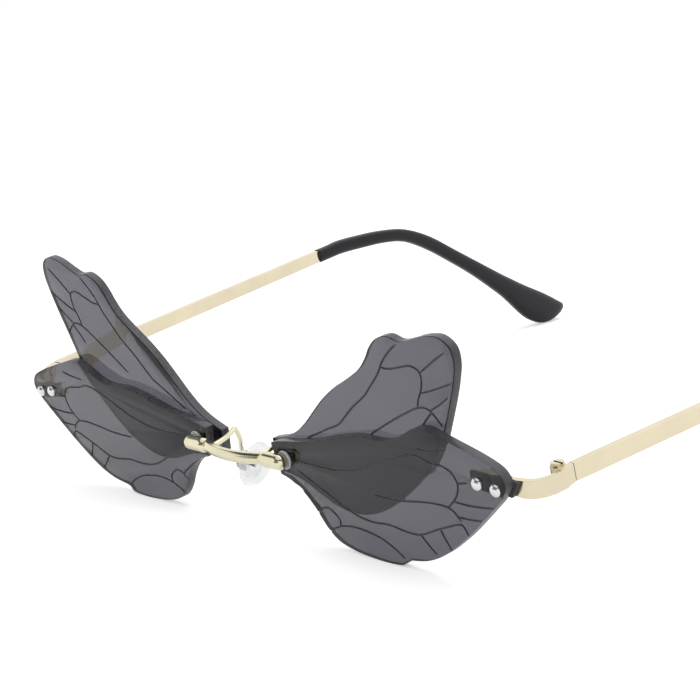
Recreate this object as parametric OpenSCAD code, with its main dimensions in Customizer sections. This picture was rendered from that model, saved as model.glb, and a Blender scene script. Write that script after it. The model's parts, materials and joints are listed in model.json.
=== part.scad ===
/* [Wings] */
// Thickness of each tinted wing plate
lens_t = 1.5; // [1.2:0.1:2.6]
// Size of the wings about their bridge holes
wing_scale = 1; // [0.92:0.01:1.06]
// Turn of the left upper wing about its bridge hole, in degrees
upper_turn_left = -3.5; // [-4:0.5:4]
// Turn of the right upper wing about its bridge hole, in degrees
upper_turn_right = 3.5; // [-4:0.5:4]
// Width of the engraved veins
vein_w = 0.3; // [0.24:0.02:0.5]
// Depth of the engraved veins
vein_deep = 0.15; // [0.1:0.05:0.5]
// Air between the front and the rear plate of one side
plate_gap = 0.05; // [0.02:0.01:0.2]

/* [Bridge] */
// Distance from the middle of the nose to a bridge hole
hole_x = 11.4; // [10.5:0.1:14]
// Diameter of the studs that pass through the wings
stud_d = 1.1; // [0.9:0.1:1.4]
// Height of the bridge bar
bar_h = 1.8; // [1.6:0.1:2.6]
// Depth of the bridge bar, front to back
bar_t = 1.4; // [1.2:0.1:2.2]
// How far the bar bows forward between its ends
bar_bow = 1.5; // [0.8:0.1:3]
// Diameter of the rounded tabs at the ends of the bar
tab_d = 2.4; // [2.3:0.1:2.8]
// Distance from a hole inward to the end of the bar
tab_in = 3.6; // [3.2:0.1:4.2]
// Outer diameter of the clear washers
washer_d = 2.9; // [2.6:0.1:3.4]
// Thickness of the clear washers' flanges
washer_t = 0.35; // [0.25:0.05:0.6]
// Wall of the washers' sleeves
sleeve_wall = 0.3; // [0.2:0.05:0.4]
// Diameter of the cap nuts behind the wings
nut_d = 2.6; // [2.2:0.1:3.2]
// Thickness of the cap nuts
nut_t = 1; // [0.8:0.1:1.4]

/* [Nose pads] */
// Height of a nose pad
pad_h = 7.6; // [7.4:0.2:11]
// Width of a nose pad
pad_w = 7.2; // [6:0.2:7.4]
// Thickness of a nose pad
pad_t = 1.7; // [1.5:0.1:2.2]
// Distance of a pad's box from the middle of the nose
pad_x = 12; // [10.8:0.1:12.5]
// Distance of a pad's box behind the front of the wings
pad_y = 8.2; // [8:0.1:10]
// Height of a pad's box over the bridge holes
pad_z = -6.7; // [-8:0.1:-6.4]
// Lean of a pad, its lower end outwards, in degrees
pad_lean = 15; // [12:1:24]
// Opening of a pad towards the face, in degrees
pad_open = 8; // [4:1:14]
// Wire diameter of the pad arms
arm_d = 0.8; // [0.7:0.05:1]
// Thickness of the cheeks of a pad's box
cheek_t = 0.5; // [0.4:0.05:0.7]
// Thickness of the lug between the cheeks
lug_t = 1.3; // [1:0.1:1.6]
// Diameter of the pad screws
pad_screw_d = 0.9; // [0.7:0.05:1.1]

/* [End pieces] */
// Distance from the middle to the outer face at a hinge
hinge_x = 65; // [64:0.5:70]
// Distance of the hinge joint behind the front of the wings
hinge_y = 7.6; // [7.4:0.1:10]
// Height of the hinges and temples over the bridge holes
end_z = 3.3; // [2.4:0.1:3.8]
// Height of the inner rivet over the bridge holes
rivet_z = 2.9; // [2.4:0.1:3.4]
// Downward tilt of the end pieces' legs behind the wings, in degrees
leg_tilt = 6; // [0:0.5:7]
// Outer radius of the bend in an end piece
bend_r = 4.6; // [4:0.1:4.8]
// Thickness of the end piece strip
strip_t = 1; // [0.8:0.05:1.2]
// Height of the end piece strip
strip_h = 2.5; // [2.4:0.1:3]
// Thickness of the black pad behind the lower wing
mount_t = 0.6; // [0.4:0.05:1]
// Distance of the inner rivet from the bridge hole
rivet_in = 42.8; // [42.3:0.1:43.4]
// Length of the black pad and the strip inward of the inner rivet
leg_in = 1.9; // [1.6:0.1:3.6]
// Distance between the two rivets
rivet_gap = 3.5; // [3.2:0.1:3.7]
// Diameter of the rivets' heads
rivet_head_d = 1.9; // [1.6:0.1:2.2]
// Diameter of the rivets' shanks
rivet_d = 1.1; // [0.9:0.1:1.3]

/* [Hinges] */
// Outer diameter of the hinge knuckles
knuckle_d = 2.2; // [2:0.05:2.25]
// Height of the three knuckles together
knuckle_h = 2.9; // [2.8:0.1:3.8]
// How far the knuckles sit below the middle of the strip
knuckle_drop = 0.45; // [0:0.05:0.5]
// Distance of the hinge axis behind the joint, towards the front
axis_back = 0.9; // [0.8:0.05:1.1]
// Air between the knuckles and the strip beside them
axis_air = 0.15; // [0.12:0.01:0.25]
// Diameter of the hinge screw's shank
screw_d = 1.2; // [1:0.05:1.3]
// Diameter of the hinge screw's head
screw_head_d = 1.9; // [1.7:0.1:2.1]

/* [Temples] */
// Outward splay of the temples, in degrees
splay = 4.7; // [2:0.1:6]
// Height of a temple bar at the hinge
temple_h = 2.6; // [2.4:0.1:3.2]
// Height of a temple bar where the sleeve starts
temple_h2 = 2.3; // [1.8:0.1:2.4]
// Thickness of a temple bar
temple_t = 1; // [0.8:0.05:1.2]
// Length of the straight bar before the sleeve
bar_len = 64.5; // [60:0.5:70]
// Thickness of the core inside the sleeve
core_t = 0.8; // [0.6:0.05:0.8]
// Height of the core inside the sleeve
core_h = 1; // [0.8:0.1:1.3]
// Half height of the sleeve where it starts
tip_r = 1.3; // [1.25:0.05:1.6]
// Half thickness of the sleeve
tip_half_t = 1.2; // [1:0.05:1.6]

/* [Hidden] */

// Clearances
fit = 0.03;
slack = 0.05;
knuckle_gap = 0.05;
fine = 48;

// Outline of a lower wing from its bridge hole, from the nose end round below to the top
lower_edge = [
    [-1.9, -2.6], [0, -3.1], [2.6, -4.5], [4.9, -6.8], [6.7, -9.3], [9, -11.3], [12.6, -12.3], [16.6, -12.7],
    [20.1, -12.8], [23.3, -12.5], [24.4, -11.6], [28.6, -10.9], [32.2, -9.6], [35.6, -7.6], [39.6, -4.8],
    [43.6, -1.6], [46.6, 0.9], [48.3, 2.9], [48.1, 4.4], [46.8, 5.6], [43.6, 6.8], [39.6, 7.9], [36.6, 8.7],
    [33.8, 9.4], [31.2, 9], [28.8, 7.8], [26.4, 6.8], [23.5, 6.2], [18.5, 6.2], [13.5, 5.4], [8.5, 4.2],
    [3.5, 3.3], [-0.8, 2.8], [-2.9, 2.3]
];
// Outline of an upper wing from its bridge hole, the same way round
upper_edge = [
    [-4.3, -1.8], [-1.4, -2.6], [2.6, -3.2], [6, -4.4], [9, -5.4], [12.6, -5.9], [16.6, -5.4], [20.6, -3.9],
    [24, -1.8], [26.6, 0.2], [29, 2.2], [31.6, 4.5], [33.7, 6.9], [34.8, 9.2], [36.4, 12.6], [37.8, 15.6],
    [39, 18.6], [39.7, 21.2], [39.3, 23.4], [37.2, 24.6], [34.2, 24.3], [31.2, 23.3], [28.8, 22.7],
    [26.4, 23.1], [23.9, 22.3], [22.1, 20.7], [20.9, 19], [19, 17], [15.9, 15], [12.6, 13.1], [9.4, 10.8],
    [6.7, 8.4], [4.3, 6.2], [1.6, 4.2], [-1.2, 2.9], [-4.7, 1.9]
];
// Veins of a lower wing
lower_veins = [
    [[3, 0.3], [8, 0.2], [13, 0.3], [19, 1.6], [25, 3.9], [30.2, 5.3], [33.2, 4.7], [36.2, 4.4], [38, 3.6], [38.7, 2.1],
        [38.2, 0.6], [37, -0.7], [35.8, -1.6]],
    [[19.8, -2.4], [25.4, -2.3], [30.6, -1.7], [34.6, -1.5], [36.7, -2], [38, -3.3]],
    [[38.9, -5.2], [38, -3.8], [35.6, -4.4], [32.4, -5.5], [28.6, -6.9], [25.4, -7], [22, -6.6], [18, -6.8],
        [14.4, -6.3], [11.2, -5], [8, -3.6], [5.2, -2.4], [2.6, -1.3]],
    [[6.4, -6.8], [7.9, -6.3], [9.4, -6.9], [10.4, -7.9], [10.2, -8.9]],
    [[10.2, -8.9], [13.2, -8.4], [16.6, -8.6], [19.6, -9.2], [22.2, -10.3], [23.9, -11.4]],
    [[1.2, -3.7], [3.6, -4.9], [6.4, -6.8], [5.1, -7.6]], [[10.2, -8.9], [8.2, -9.7], [6.9, -10.6]],
    [[28.6, -6.9], [30, -8.3], [31.3, -9.4]], [[33.2, -5.3], [33.8, -6.6], [34.8, -8.2]],
    [[37.6, -2.7], [40, -2.7], [42.2, -2.5]], [[37, -0.5], [40.8, -0.6], [45.2, -0.2]], [[38.6, 2.3], [40.8, 2.7]],
    [[31.6, 6.2], [34.6, 6.5], [37.6, 7]]
];
// Veins of an upper wing
upper_veins = [
    [[28.2, 22.2], [26.4, 20.8], [24.6, 19], [23.4, 17.2], [21.2, 14.9], [19.4, 13.1], [16.4, 10.9], [14.2, 9],
        [12.3, 7.4], [9.8, 6.3], [6.8, 4.9], [4.2, 3.7]],
    [[24.2, 18.2], [26, 18.3], [28.2, 18.9], [30.4, 19.5], [32.1, 19.1], [32.5, 18], [32.1, 16.3], [31.2, 14.8],
        [30.8, 13.6]],
    [[19.2, 7.2], [22.6, 9.2], [25.4, 10.8], [28.4, 12.4], [30.8, 13.5], [32.8, 13.7], [34.2, 12.8], [35.4, 11.6]],
    [[32.4, 18.8], [35.2, 20.8], [38, 22.6]], [[31.9, 15.8], [35, 16.9], [38.6, 18.4]],
    [[33.4, 13.6], [35.8, 15], [37.4, 16.2]], [[33.6, 13.3], [32.2, 12], [30.7, 10.4]]
];
// Middle line of a sleeve after the straight bar: along, down, half height, half thickness
tip_line = [
    [0, 0, 0, 0], [3, 0, 0, 0], [6, 0, 0.05, 0], [11.5, -0.6, 0.05, 0], [17.5, -1.5, 0, 0], [23.5, -3.1, 0, 0],
    [29.5, -6.5, 0.1, 0], [35.5, -11.1, 0.1, 0], [41.5, -15.9, 0.25, 0.05], [47.5, -21, 0.65, 0.15],
    [50.5, -23.6, 1, 0.2], [53.5, -26.4, 1.55, 0.25], [56.5, -29, 2.05, 0.3], [59.5, -30.9, 1.95, 0.3],
    [62, -31.8, 1.3, 0.2], [64, -32.2, 0.4, 0], [65.4, -32.3, -0.4, -0.4], [66, -32.3, -0.9, -0.8]
];

// Point of a smooth curve between b and c
function blend(a, b, c, d, t) =
    0.5 * (2 * b + (c - a) * t + (2 * a - 5 * b + 4 * c - d) * t * t + (3 * b - a - 3 * c + d) * t * t * t);
// Smooth curve through every point of p, in n steps a stretch
function smooth(p, n) = let (last = len(p) - 1) concat(
    [for (i = [0:last - 1]) for (k = [0:n - 1])
        blend(p[max(i - 1, 0)], p[i], p[i + 1], p[min(i + 2, last)], k / n)],
    [p[last]]);
// Unit vector square to the curve p at point i
function square_to(p, i) = let (d = p[min(i + 1, len(p) - 1)] - p[max(i - 1, 0)]) [-d[1], d[0]] / norm([d[0], d[1]]);
// Outline of a stroke along p, pointed at both ends
function stroke(p, w) = let (last = len(p) - 1) concat(
    [for (i = [0:last]) p[i] + square_to(p, i) * w * (i == 0 || i == last ? 0.2 : 0.5)],
    [for (i = [last:-1:0]) p[i] - square_to(p, i) * w * (i == 0 || i == last ? 0.2 : 0.5)]);
function turned(p, a) = [p[0] * cos(a) - p[1] * sin(a), p[0] * sin(a) + p[1] * cos(a)];

// Depths of the layers behind the front of the lower wings
upper_y = lens_t + plate_gap;
wing_back = upper_y + lens_t;
leg_y = lens_t + mount_t;
leg_back = leg_y + strip_t;
hole_d = stud_d + 2 * (slack + sleeve_wall + slack);

// Bridge
tab_back = -washer_t;
tab_y = tab_back - tab_d * 0.35;
tab_core = tab_in - 0.3;
bar_end_x = hole_x - tab_in;
bar_end_y = tab_back - bar_t / 2;
bow_r = (bar_end_x * bar_end_x + bar_bow * bar_bow) / (2 * bar_bow);
bow_y = bar_end_y - bar_bow + bow_r;
bow_angle = asin(bar_end_x / bow_r);
bar_front = bar_end_y - bar_bow - bar_t / 2;
arm_x = bar_end_x - 1.8;
arm_y = bow_y - sqrt(bow_r * bow_r - arm_x * arm_x);

// Hinge
bend_y = leg_y + bend_r;
straight_len = (hinge_y - bend_y + bend_r * sin(splay)) / cos(splay);
bend_x = hinge_x - bend_r * cos(splay) - straight_len * sin(splay);
rivet_x = hole_x + rivet_in * wing_scale;
rivet_step = rivet_gap * wing_scale;
leg_start = rivet_x - leg_in;
join = 0.02;
leg_cut = strip_h * 0.2;
function leg_z(x) = rivet_z - (x - rivet_x) * tan(leg_tilt);
// Middle line of an end piece: behind the wing, round the bend and up to the joint, with the outward direction
// and what the strip's top edge lacks behind the wing
bend_mid = bend_r - strip_t / 2;
end_way = concat(
    [for (x = [leg_start, rivet_x, rivet_x + rivet_step, bend_x])
        [x, leg_y + strip_t / 2, leg_z(x), 0, x < bend_x ? leg_cut : 0]],
    [for (k = [1:12]) let (a = k / 12 * (90 - splay))
        [bend_x + bend_mid * sin(a), bend_y - bend_mid * cos(a), blend_z(k / 14), a, 0]],
    [let (a = 90 - splay, d = straight_len - slack)
        [bend_x + bend_mid * sin(a) + d * sin(splay), bend_y - bend_mid * cos(a) + d * cos(splay), end_z, a, 0]]);
function blend_z(t) = let (z = leg_z(bend_x)) z + (end_z - z) * t * t;
knuckle_r = knuckle_d / 2;
axis_in = strip_t + axis_air + knuckle_r;
middle_h = knuckle_h / 3;
screw_head_t = 0.4;

// Sleeve rows: place along the temple, height, half height, half thickness
core_len = 60;
// Solid end of a sleeve beyond its core
core_cover = 6;
sleeve_stretch = (core_len + core_cover) / tip_line[len(tip_line) - 1][0];
tip_rows = smooth([for (r = tip_line)
    [bar_len + r[0] * sleeve_stretch, r[1], tip_r + r[2], tip_half_t + r[3]]], 3);
tip_low = [for (i = [0:len(tip_rows) - 1]) [tip_rows[i][0], tip_rows[i][1]] - square_to(tip_rows, i) * tip_rows[i][2]];
tip_high = [for (i = [0:len(tip_rows) - 1]) [tip_rows[i][0], tip_rows[i][1]] + square_to(tip_rows, i) * tip_rows[i][2]];

// Pose at rest: on the lower wings' front edges and the sleeves' low points
wing_low = min([for (p = smooth(lower_edge, 4)) p[1]]) * wing_scale;
rest_slope = max([for (p = tip_low) (wing_low - p[1] - end_z) / (hinge_y + p[0] * cos(splay))]);
rest_pitch = atan(rest_slope);
rest_z = -wing_low * cos(rest_pitch);
rest_front = bar_front * cos(rest_pitch) - bar_h / 2 * sin(rest_pitch);
rest_back = max([for (p = concat(tip_low, tip_high))
    (hinge_y + p[0] * cos(splay)) * cos(rest_pitch) - (p[1] + end_z) * sin(rest_pitch)]);
rest_y = -(rest_front + rest_back) / 2;

module at_rest() {
    translate([0, rest_y, rest_z])
        rotate([rest_pitch, 0, 0])
            children();
}

// Both sides share one set of modules; side is 1 on the wearer's left and -1 on the right
module side_of(side) {
    at_rest()
        if (side > 0)
            children();
        else
            mirror([1, 0, 0])
                children();
}

// Plate drawn in the plane of the wings, from y0 to y1
module plate(y0, y1) {
    translate([0, y1, 0])
        rotate([90, 0, 0])
            linear_extrude(height = y1 - y0)
                children();
}

// Round bar along the depth, centred on x and z
module peg(x, z, y0, y1, d) {
    translate([x, y0, z])
        rotate([-90, 0, 0])
            cylinder(h = y1 - y0, d = d, $fn = fine);
}

module wing(edge, veins, front, turn) {
    difference() {
        plate(front, front + lens_t)
            translate([hole_x, 0])
                polygon([for (p = smooth(edge, 4)) turned(p * wing_scale, turn)]);
        for (v = veins)
            plate(front - 1, front + vein_deep)
                translate([hole_x, 0])
                    polygon([for (p = stroke(smooth(v, 3), vein_w)) turned(p * wing_scale, turn)]);
        peg(hole_x, 0, front - 1, front + lens_t + 1, hole_d);
        children();
    }
}

module lower_wing(side) {
    color([0.34, 0.34, 0.36, 0.75])
        side_of(side)
            wing(lower_edge, lower_veins, 0, 0)
                for (x = [rivet_x, rivet_x + rivet_step])
                    peg(x, leg_z(x), -1, lens_t + 1, rivet_d + 2 * slack);
}

module upper_wing(side) {
    color([0.36, 0.35, 0.38, 0.75])
        side_of(side)
            wing(upper_edge, upper_veins, upper_y, side > 0 ? upper_turn_left : upper_turn_right);
}

// Cross-section of the bar: a low roof in front with its ridge along the middle, flat behind
module bar_section() {
    polygon([
        [bar_t / 2, 0], [bar_t * 0.36, bar_h * 0.3], [bar_t * 0.1, bar_h / 2],
        [-bar_t * 0.4, bar_h / 2], [-bar_t / 2, bar_h * 0.4], [-bar_t / 2, -bar_h * 0.4],
        [-bar_t * 0.4, -bar_h / 2], [bar_t * 0.1, -bar_h / 2], [bar_t * 0.36, -bar_h * 0.3]
    ]);
}

// Rounded tab along z, its outer ball at the origin and its inner ball at -tab_core
module tab() {
    rotate_extrude($fn = fine)
        polygon(concat(
            [for (a = [-90:15:0]) [tab_d / 2 * cos(a), tab_d / 2 * sin(a) - tab_core]],
            [for (a = [0:15:90]) [tab_d / 2 * cos(a), tab_d / 2 * sin(a)]]));
}

module bridge() {
    color([0.88, 0.82, 0.66])
        at_rest()
            union() {
                difference() {
                    union() {
                        translate([0, bow_y, 0])
                            rotate([0, 0, -90 - bow_angle])
                                rotate_extrude(angle = 2 * bow_angle, $fn = 160)
                                    translate([bow_r, 0])
                                        bar_section();
                        for (s = [-1, 1])
                            translate([s * hole_x, tab_y, 0])
                                rotate([0, s * 90, 0])
                                    tab();
                    }
                    for (s = [-1, 1])
                        peg(s * arm_x, 0, arm_y, arm_y + bar_t, arm_d + 2 * slack);
                    translate([-2 * hole_x, tab_back, -tab_d])
                        cube([4 * hole_x, tab_d, 2 * tab_d]);
                }
                for (s = [-1, 1])
                    peg(s * hole_x, 0, tab_y, wing_back + nut_t * 0.7, stud_d);
            }
}

module bridge_washer(side) {
    color([0.9, 0.92, 0.92, 0.6])
        side_of(side)
            difference() {
                union() {
                    peg(hole_x, 0, -washer_t, 0, washer_d);
                    peg(hole_x, 0, -washer_t / 2, wing_back - slack, hole_d - 2 * slack);
                }
                peg(hole_x, 0, -1, wing_back + 1, stud_d + 2 * slack);
            }
}

module bridge_nut(side) {
    color([0.2, 0.2, 0.2])
        side_of(side)
            difference() {
                peg(hole_x, 0, wing_back, wing_back + nut_t, nut_d);
                peg(hole_x, 0, wing_back - 1, wing_back + nut_t * 0.8, stud_d + 2 * slack);
            }
}

// Tube of n sides through the points of p, square ended
module wire(p, d, n) {
    last = len(p) - 1;
    dirs = [for (i = [0:last]) let (v = p[min(i + 1, last)] - p[max(i - 1, 0)]) v / norm(v)];
    rings = [for (i = [0:last]) let (u = cross(dirs[i], [1, 0, 0]), a = u / norm(u), b = cross(dirs[i], a))
        for (k = [0:n - 1]) p[i] + (a * cos(360 * k / n) + b * sin(360 * k / n)) * d / 2];
    polyhedron(
        points = rings,
        faces = concat(
            [[for (k = [0:n - 1]) k]],
            [[for (k = [n - 1:-1:0]) last * n + k]],
            [for (i = [0:last - 1]) for (k = [0:n - 1])
                each [[i * n + k, (i + 1) * n + k, i * n + (k + 1) % n],
                    [i * n + (k + 1) % n, (i + 1) * n + k, (i + 1) * n + (k + 1) % n]]]));
}

// Places a child at a pad's box: x towards the nose, y along its screw, z up the pad
module at_pad() {
    translate([pad_x, pad_y, pad_z])
        rotate([0, 0, 180 - pad_open])
            rotate([0, pad_lean, 0])
                children();
}

box_h = 2.2;
box_deep = 1.9;
box_w = lug_t + 2 * (cheek_t + slack);
pad_in = box_deep / 2 + 0.35;
lug_x = -box_deep / 2 + cheek_t + 0.2;

// The wire's way: back past the nose end of the wings, over, and down to the box
arm_way = [
    [arm_x, arm_y + bar_t / 2, 0], [arm_x, 1.4, 0.35], [arm_x + 0.1, wing_back, 0.85],
    [arm_x + 0.6, wing_back + 1, 1], [arm_x + 2.2, pad_y - 2.6, -1.4], [pad_x - 0.8, pad_y - 0.8, pad_z + 3.1],
    [pad_x + 0.7, pad_y + 0.1, pad_z + 1.5], [pad_x + 0.9, pad_y, pad_z + 0.4]
];

module nose_pad_arm(side) {
    color([0.88, 0.82, 0.66])
        side_of(side) {
            peg(arm_x, 0, arm_y + slack, arm_y + bar_t / 2 + join, arm_d);
            wire(smooth(arm_way, 4), arm_d, 12);
            at_pad()
                difference() {
                    translate([-box_deep / 2, -box_w / 2, -box_h / 2])
                        cube([box_deep, box_w, box_h]);
                    translate([-box_deep / 2 + cheek_t, -lug_t / 2 - slack, -box_h])
                        cube([box_deep, lug_t + 2 * slack, 2 * box_h]);
                    peg(0.2, 0, -box_w, box_w, pad_screw_d + 2 * fit);
                }
        }
}

module nose_pad_screw(side) {
    color([0.75, 0.74, 0.72])
        side_of(side)
            at_pad()
                difference() {
                    union() {
                        peg(0.2, 0, -box_w / 2 - 0.4, -box_w / 2, pad_screw_d + 0.6);
                        peg(0.2, 0, -box_w / 2 - 0.1, box_w / 2 + 0.1, pad_screw_d);
                    }
                    translate([0.2 - pad_screw_d, -box_w / 2 - 1.2, -0.1])
                        cube([2 * pad_screw_d, 1, 0.2]);
                }
}

// Oval across the pad's width and height
module oval(w, h) {
    polygon([for (a = [0:15:345]) [w / 2 * cos(a), h / 2 * sin(a)]]);
}

module pad_layer(x, t, w, h) {
    translate([x, 0, 0])
        rotate([90, 0, 90])
            linear_extrude(height = t)
                oval(w, h);
}

core_w = pad_w * 0.55;
core_hh = pad_h * 0.6;
core_plate = 0.5;

module nose_pad_core(side) {
    color([0.9, 0.9, 0.88])
        side_of(side)
            at_pad()
                difference() {
                    union() {
                        pad_layer(pad_in, core_plate, core_w, core_hh);
                        translate([lug_x, -lug_t / 2, -box_h / 2 + 0.2])
                            cube([pad_in - lug_x + 0.2, lug_t, box_h - 0.4]);
                    }
                    peg(0.2, 0, -box_w, box_w, pad_screw_d + 2 * fit);
                }
}

module nose_pad(side) {
    color([0.93, 0.95, 0.95, 0.6])
        side_of(side)
            at_pad()
                difference() {
                    hull() {
                        pad_layer(pad_in, 0.1, pad_w * 0.8, pad_h * 0.84);
                        pad_layer(pad_in + pad_t * 0.4, 0.2, pad_w, pad_h);
                        pad_layer(pad_in + pad_t - 0.1, 0.1, pad_w * 0.76, pad_h * 0.8);
                    }
                    pad_layer(pad_in - 1, 1 + core_plate + slack, core_w + 2 * slack, core_hh + 2 * slack);
                }
}

// Places a child at a temple: x outwards, y along the temple, z up, from the joint on the outer face
module at_temple() {
    translate([hinge_x, hinge_y, end_z])
        rotate([0, 0, -splay])
            children();
}

module knuckle(z0, z1) {
    translate([-axis_in, -axis_back, z0])
        difference() {
            cylinder(h = z1 - z0, d = knuckle_d, $fn = fine);
            translate([0, 0, -1])
                cylinder(h = z1 - z0 + 2, d = screw_d + 2 * fit, $fn = fine);
        }
}

module axis_bore() {
    translate([-axis_in, -axis_back, -knuckle_h])
        cylinder(h = 2 * knuckle_h, d = screw_d + 2 * fit, $fn = fine);
}

// Leg that ties a knuckle to the strip beside it, from y0 to y1
module knuckle_leg(z0, z1, y0, y1) {
    translate([-axis_in, y0, z0])
        cube([axis_in - strip_t / 2, y1 - y0, z1 - z0]);
}

low_z = [-knuckle_drop - knuckle_h / 2, -knuckle_drop - middle_h / 2 - knuckle_gap];
mid_z = [-knuckle_drop - middle_h / 2, -knuckle_drop + middle_h / 2];
top_z = [-knuckle_drop + middle_h / 2 + knuckle_gap, -knuckle_drop + knuckle_h / 2];

// Strip of height h and thickness t along the points of p, each with its outward direction
module strip(p, h, t) {
    last = len(p) - 1;
    polyhedron(
        points = [for (q = p) for (c = [[1, 1], [1, -1], [-1, -1], [-1, 1]])
            [q[0] + c[0] * t / 2 * sin(q[3]), q[1] - c[0] * t / 2 * cos(q[3]), q[2] + (c[1] > 0 ? h / 2 - q[4] : -h / 2)]],
        faces = concat(
            [[0, 1, 2, 3], [for (k = [3:-1:0]) last * 4 + k]],
            [for (i = [0:last - 1]) for (k = [0:3])
                each [[i * 4 + k, (i + 1) * 4 + k, i * 4 + (k + 1) % 4],
                    [i * 4 + (k + 1) % 4, (i + 1) * 4 + k, (i + 1) * 4 + (k + 1) % 4]]]));
}

module end_piece(side) {
    color([0.88, 0.82, 0.66])
        side_of(side)
            difference() {
                union() {
                    strip(end_way, strip_h, strip_t);
                    at_temple()
                        for (z = [low_z, top_z]) {
                            knuckle(z[0], z[1]);
                            knuckle_leg(z[0], z[1], -axis_back - knuckle_r, -axis_back);
                        }
                }
                at_temple()
                    axis_bore();
                for (x = [rivet_x, rivet_x + rivet_step])
                    peg(x, leg_z(x), leg_y - 1, leg_back + 1, rivet_d + 2 * slack);
            }
}

// Outer end of the black pad's top edge
mount_out = (bend_x - rivet_x + 0.2) / cos(leg_tilt);

module mount_pad(side) {
    color([0.2, 0.2, 0.2])
        side_of(side)
            difference() {
                translate([rivet_x, 0, rivet_z])
                    rotate([0, leg_tilt, 0])
                        plate(lens_t, lens_t + mount_t)
                            polygon([
                                [-leg_in - 0.2, -strip_h / 2 - 0.1], [mount_out - strip_h * 0.6, -strip_h / 2 - 0.1],
                                [mount_out, strip_h / 2 - 0.1], [-leg_in - 0.2, strip_h / 2 - 0.1]
                            ]);
                for (x = [rivet_x, rivet_x + rivet_step])
                    peg(x, leg_z(x), 0, leg_back, rivet_d + 2 * slack);
            }
}

module lens_rivets(side) {
    color([0.8, 0.8, 0.8])
        side_of(side)
            for (x = [rivet_x, rivet_x + rivet_step])
                translate([x, 0, leg_z(x)])
                    rotate([-90, 0, 0])
                        rotate_extrude($fn = fine)
                            polygon([
                                [0, -0.7], [rivet_head_d * 0.2, -0.66], [rivet_head_d * 0.36, -0.52],
                                [rivet_head_d * 0.46, -0.3], [rivet_head_d / 2, 0], [rivet_d / 2, 0],
                                [rivet_d / 2, leg_back], [rivet_head_d * 0.42, leg_back],
                                [rivet_head_d * 0.34, leg_back + 0.35], [0, leg_back + 0.45]
                            ]);
}

module hinge_screw(side) {
    color([0.88, 0.82, 0.66])
        side_of(side)
            at_temple()
                translate([-axis_in, -axis_back, -knuckle_drop])
                    difference() {
                        union() {
                            translate([0, 0, -knuckle_h / 2])
                                cylinder(h = knuckle_h + 0.1, d = screw_d, $fn = fine);
                            translate([0, 0, knuckle_h / 2])
                                cylinder(h = screw_head_t, d = screw_head_d, $fn = fine);
                        }
                        translate([-screw_head_d, -0.15, knuckle_h / 2 + screw_head_t / 2])
                            cube([2 * screw_head_d, 0.3, screw_head_t]);
                    }
}

// Plate drawn along the temple and up, t thick from its outer face inwards
module temple_plate(t, inset) {
    translate([-inset, 0, 0])
        rotate([90, 0, -90])
            mirror([1, 0, 0])
                linear_extrude(height = t)
                    children();
}

core_rows = [for (r = tip_rows) if (r[0] < bar_len + core_len) [r[0], r[1]]];
core_low = [for (i = [0:len(core_rows) - 1]) core_rows[i] - square_to(core_rows, i) * core_h / 2];
core_high = [for (i = [len(core_rows) - 1:-1:0]) core_rows[i] + square_to(core_rows, i) * core_h / 2];
room_low = [for (i = [0:len(core_rows) - 1]) core_rows[i] - square_to(core_rows, i) * (core_h / 2 + slack)];
room_high = [for (i = [len(core_rows) - 1:-1:0]) core_rows[i] + square_to(core_rows, i) * (core_h / 2 + slack)];

module temple(side) {
    color([0.88, 0.82, 0.66])
        side_of(side)
            at_temple()
                difference() {
                    union() {
                        temple_plate(temple_t, 0)
                            polygon([
                                [slack, -strip_h / 2], [bar_len * 0.05, -temple_h / 2], [bar_len, -temple_h2 / 2],
                                [bar_len, temple_h2 / 2], [bar_len * 0.05, temple_h / 2], [slack, strip_h / 2]
                            ]);
                        temple_plate(core_t, (temple_t - core_t) / 2)
                            polygon(concat([[bar_len - 1, -core_h / 2]], core_low, core_high, [[bar_len - 1, core_h / 2]]));
                        knuckle(mid_z[0], mid_z[1]);
                        knuckle_leg(mid_z[0], mid_z[1], slack, 2.2);
                        translate([-axis_in, -axis_back, mid_z[0]])
                            cube([knuckle_r, axis_back + 0.2, middle_h]);
                    }
                    axis_bore();
                }
}

// Sleeve swept along its rows with a round-cornered section
module temple_tip(side) {
    sides = 20;
    last = len(tip_rows) - 1;
    mid_x = -temple_t / 2;
    color([0.12, 0.12, 0.13])
        side_of(side)
            at_temple()
                difference() {
                    polyhedron(
                        points = [for (i = [0:last]) for (k = [0:sides - 1])
                            let (r = tip_rows[i], n = square_to(tip_rows, i), c = cos(360 * k / sides), s = sin(360 * k / sides),
                                up = sign(s) * pow(abs(s), 0.8) * r[2], out = sign(c) * pow(abs(c), 0.8) * r[3])
                            [mid_x + out, r[0] + n[0] * up, r[1] + n[1] * up]],
                        faces = concat(
                            [[for (k = [0:sides - 1]) k]],
                            [[for (k = [sides - 1:-1:0]) last * sides + k]],
                            [for (i = [0:last - 1]) for (k = [0:sides - 1])
                                each [[i * sides + k, (i + 1) * sides + k, i * sides + (k + 1) % sides],
                                    [i * sides + (k + 1) % sides, (i + 1) * sides + k, (i + 1) * sides + (k + 1) % sides]]]));
                    temple_plate(core_t + 2 * slack, (temple_t - core_t) / 2 - slack)
                        polygon(concat([[bar_len - 1, -core_h / 2 - slack]], room_low, room_high, [[bar_len - 1, core_h / 2 + slack]]));
                }
}

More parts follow.
